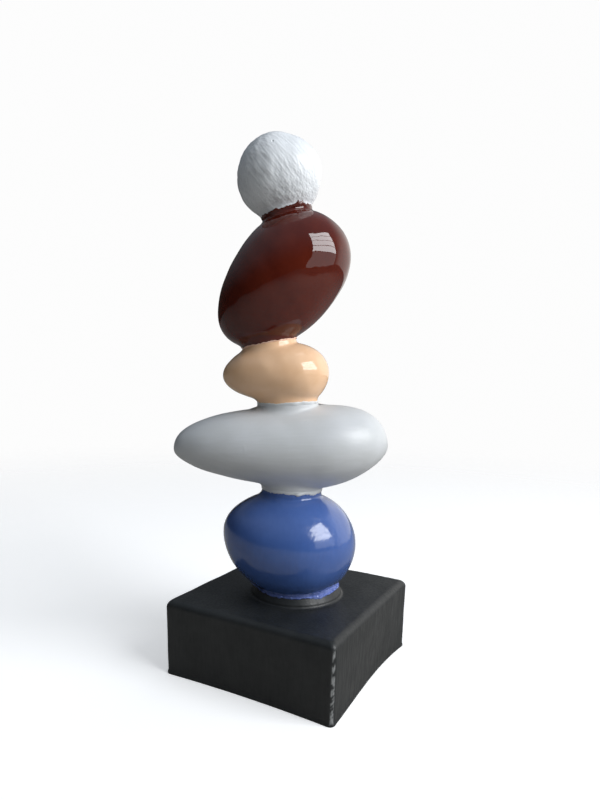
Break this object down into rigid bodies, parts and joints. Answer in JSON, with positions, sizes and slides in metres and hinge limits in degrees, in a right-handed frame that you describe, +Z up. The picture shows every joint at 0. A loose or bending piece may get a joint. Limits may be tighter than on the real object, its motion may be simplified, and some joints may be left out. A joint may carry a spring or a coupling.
{
  "type": "stacked stone sculpture",
  "caption": "Tabletop ornament of smooth painted stones balanced one on another, leaning in turn, on a square black block that carries them.",
  "frame": {"origin": "centre of the block's underside, on the table", "axes": "+Z up, -Y towards the block's front face; the stones' long axes lie in an upright plane turned 28.6 degrees about +Z from +X"},
  "size_m": [0.1082, 0.0998, 0.2879],
  "materials": {
    "black_paint": "satin black paint on cast plaster, mottled sheen, worn at the corners",
    "blue_paint": "semi-gloss blue paint on cast plaster",
    "white_satin_paint": "satin white paint on cast plaster",
    "peach_enamel": "glossy peach enamel on cast plaster",
    "brown_enamel": "high-gloss dark red-brown enamel on cast plaster",
    "white_ball_paint": "brushed semi-gloss white paint on cast plaster, with pinholes"
  },
  "bodies": {
    "root": {"black_base": "black_paint", "blue_stone": "blue_paint", "long_white_stone": "white_satin_paint", "peach_stone": "peach_enamel", "brown_stone": "brown_enamel", "white_ball_stone": "white_ball_paint"}
  },
  "joints": []
}
